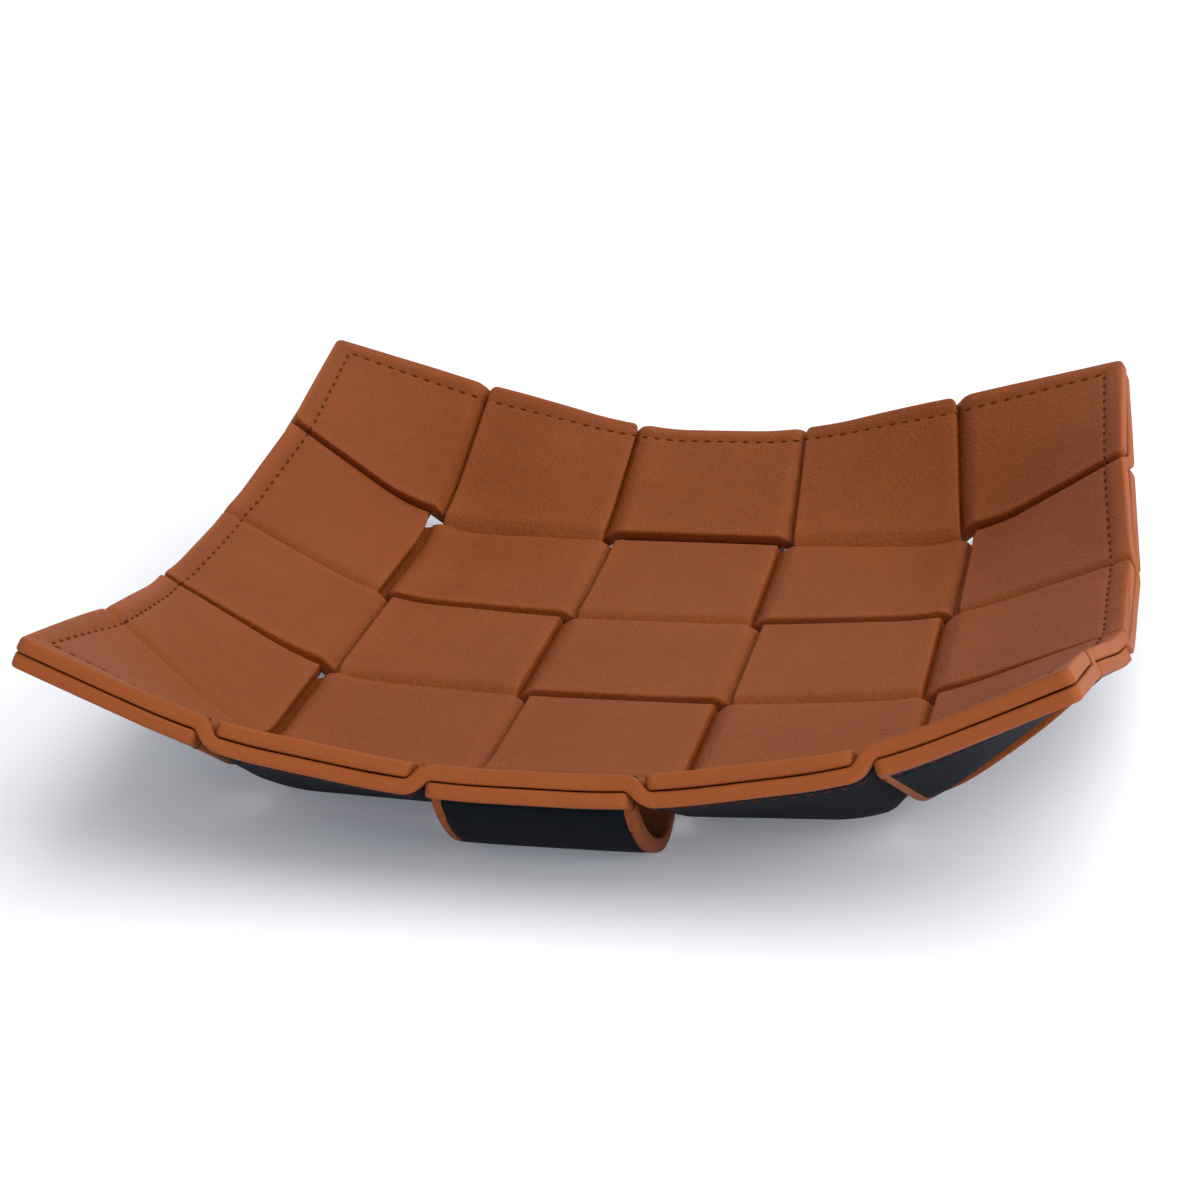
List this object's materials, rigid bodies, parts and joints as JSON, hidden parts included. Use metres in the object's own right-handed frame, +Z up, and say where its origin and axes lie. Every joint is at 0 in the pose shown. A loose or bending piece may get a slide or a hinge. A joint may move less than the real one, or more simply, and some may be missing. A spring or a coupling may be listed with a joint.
{
  "type": "valet tray",
  "caption": "Square shallow catch-all bowl, plain-woven from wide lined leather straps and sewn together round its rim.",
  "frame": {"origin": "middle of the underside of the centre strap, on the plane the tray stands on", "axes": "+Z up out of the bowl, X along the rows, Y along the columns with the front at -Y"},
  "size_m": [0.2497, 0.2503, 0.0592],
  "materials": {
    "tan_leather": "smooth, fine grain, semi matt",
    "navy_lining": "fine grain, matt",
    "board": "matt fibre",
    "thread": "twisted thread"
  },
  "bodies": {
    "root": {"column_1_leather": "tan_leather", "column_1_board": "board", "column_1_lining": "navy_lining", "column_2_leather": "tan_leather", "column_2_board": "board", "column_2_lining": "navy_lining", "column_3_leather": "tan_leather", "column_3_board": "board", "column_3_lining": "navy_lining", "column_4_leather": "tan_leather", "column_4_board": "board", "column_4_lining": "navy_lining", "column_5_leather": "tan_leather", "column_5_board": "board", "column_5_lining": "navy_lining", "row_1_leather": "tan_leather", "row_1_board": "board", "row_1_lining": "navy_lining", "row_2_leather": "tan_leather", "row_2_board": "board", "row_2_lining": "navy_lining", "row_3_leather": "tan_leather", "row_3_board": "board", "row_3_lining": "navy_lining", "row_4_leather": "tan_leather", "row_4_board": "board", "row_4_lining": "navy_lining", "row_5_leather": "tan_leather", "row_5_board": "board", "row_5_lining": "navy_lining", "needle_thread_front": "thread", "bobbin_thread_front": "thread", "needle_thread_back": "thread", "bobbin_thread_back": "thread", "needle_thread_left": "thread", "bobbin_thread_left": "thread", "needle_thread_right": "thread", "bobbin_thread_right": "thread"}
  },
  "joints": []
}
